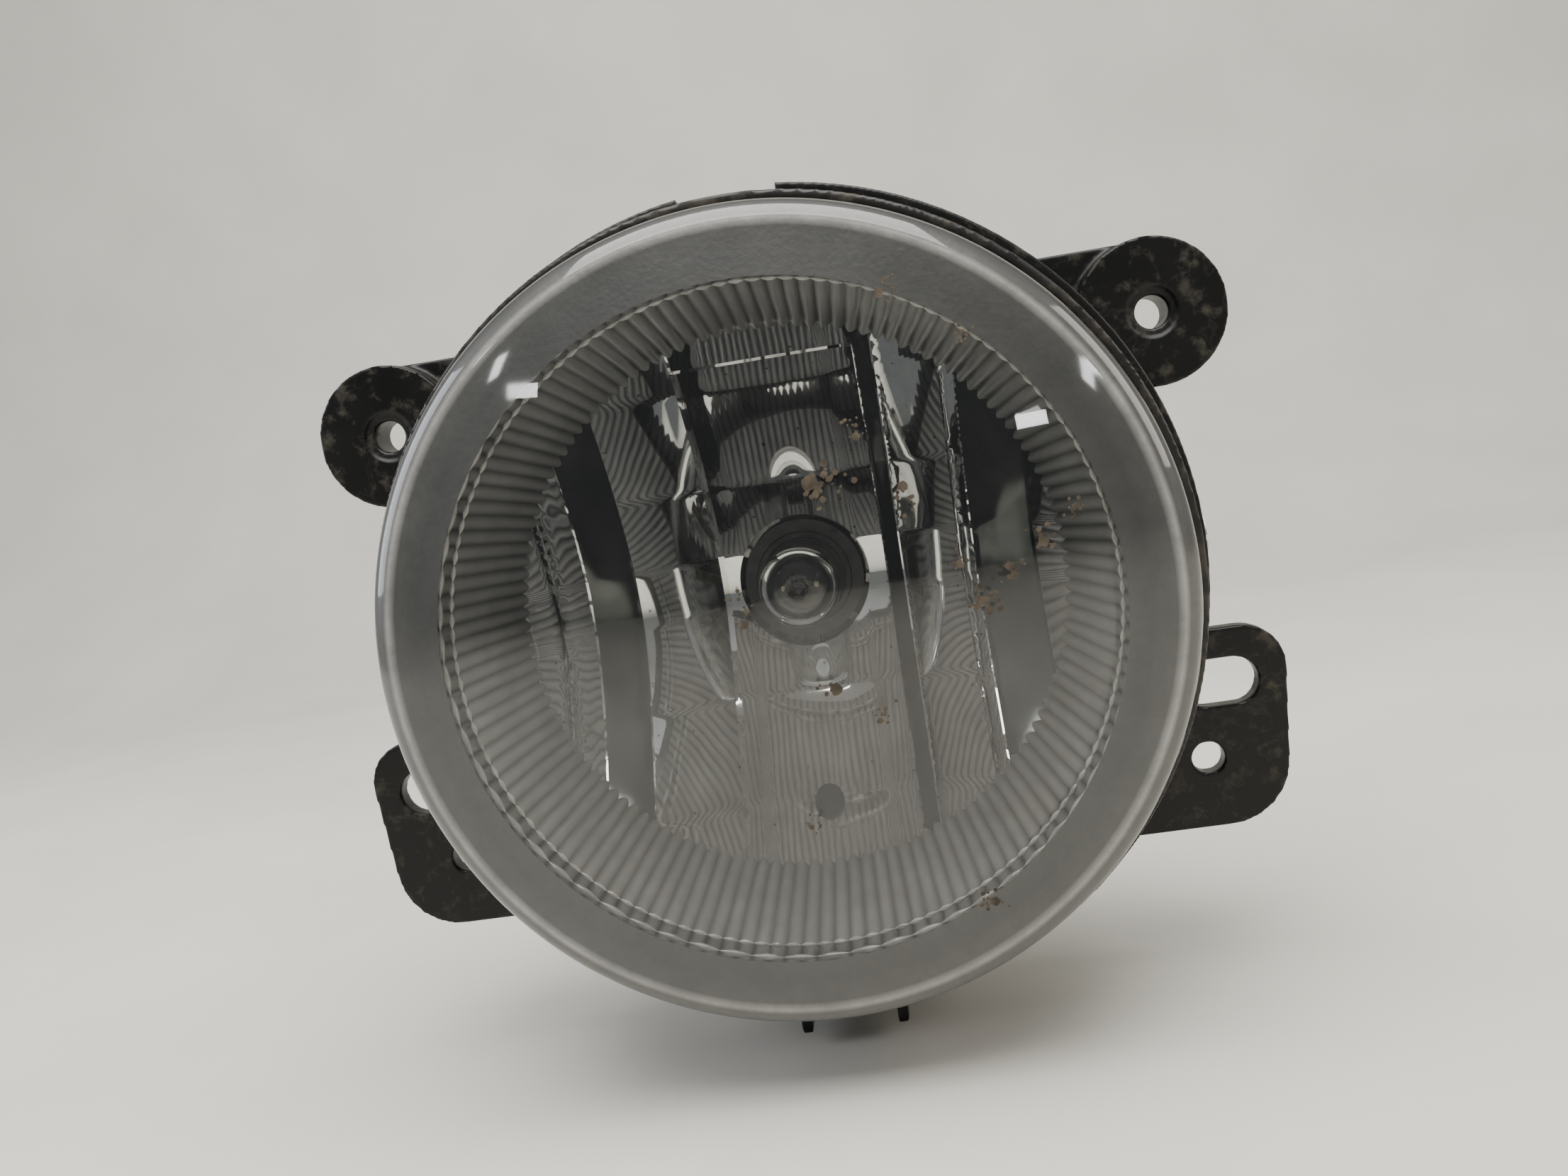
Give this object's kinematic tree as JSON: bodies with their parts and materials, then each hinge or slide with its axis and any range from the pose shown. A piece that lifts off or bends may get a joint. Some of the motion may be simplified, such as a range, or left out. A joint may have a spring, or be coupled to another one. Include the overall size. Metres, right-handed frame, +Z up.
{
  "type": "fog light",
  "caption": "Round fog light: pressed glass lens with fluted skirt, metallised reflector and halogen bulb in a tilting housing, aimed by a screw in a four-tab mounting frame.",
  "frame": {"origin": "on the optical axis, in the plane of the front faces of the four mounting tabs, at the middle of the four bolt holes", "axes": "-Y is the way the lamp shines, +Z is up on the vehicle, +X is to the right of someone facing the lamp"},
  "size_m": [0.1316, 0.0878, 0.116],
  "materials": {
    "frame_plastic": "moulded, dusty",
    "housing_plastic": "moulded",
    "bush_nylon": "moulded",
    "plated_steel": "zinc plated",
    "adjuster_nylon": "moulded",
    "lens_glass": "pressed, frosted shoulder",
    "sealant": "cured",
    "mirror_coat": "vacuum metallised",
    "bayonet_steel": "stamped",
    "vent_rubber": "moulded",
    "bulb_plastic": "moulded",
    "o_ring_rubber": "moulded silicone",
    "quartz_glass": "drawn",
    "tungsten": "coiled wire",
    "lead_wire": "drawn wire",
    "tinned_brass": "tinned, stamped"
  },
  "bodies": {
    "bracket": {"mounting_frame": "frame_plastic", "pivot_bush_left": "bush_nylon", "pivot_bush_right": "bush_nylon", "adjuster_bush": "bush_nylon"},
    "lamp": {"housing": "housing_plastic", "lens": "lens_glass", "lens_sealant": "sealant", "reflector": "mirror_coat", "reflector_screws": "plated_steel", "pivot_pin_left": "plated_steel", "pivot_pin_right": "plated_steel", "bayonet_ring": "bayonet_steel", "vent_elbow": "vent_rubber"},
    "bulb": {"bulb_base": "bulb_plastic", "bulb_o_ring": "o_ring_rubber", "bulb_glass": "quartz_glass", "bulb_filament": "tungsten", "bulb_wires": "lead_wire", "bulb_terminals": "tinned_brass"},
    "adjuster": {"adjuster_screw": "plated_steel", "adjuster_knob": "adjuster_nylon", "adjuster_push_nut": "plated_steel"},
    "travelling_nut": {"adjuster_nut": "adjuster_nylon"}
  },
  "joints": [
    {"name": "aim_screw_turn", "type": "hinge", "parent": "bracket", "child": "adjuster", "pos_m": [0, 0.012, -0.056], "axis": [0, 1, 0], "range_deg": [-822, 822]},
    {"name": "nut_travel", "type": "slide", "parent": "bracket", "child": "travelling_nut", "axis": [0, 1, 0], "range_m": [-0.00343, 0.00343]},
    {"name": "lamp_tilt", "type": "hinge", "parent": "bracket", "child": "lamp", "pos_m": [0, 0, 0], "axis": [1, 0, 0], "range_deg": [-3.5, 3.5]},
    {"name": "bulb_twist", "type": "hinge", "parent": "lamp", "child": "bulb", "pos_m": [0, 0.03, 0], "axis": [0, 1, 0], "range_deg": [0, 40]}
  ],
  "couplings": [
    {"joint": "nut_travel", "follows": "lamp_tilt", "m_per_rad": 0.056},
    {"joint": "aim_screw_turn", "follows": "lamp_tilt", "ratio": -234.57}
  ]
}
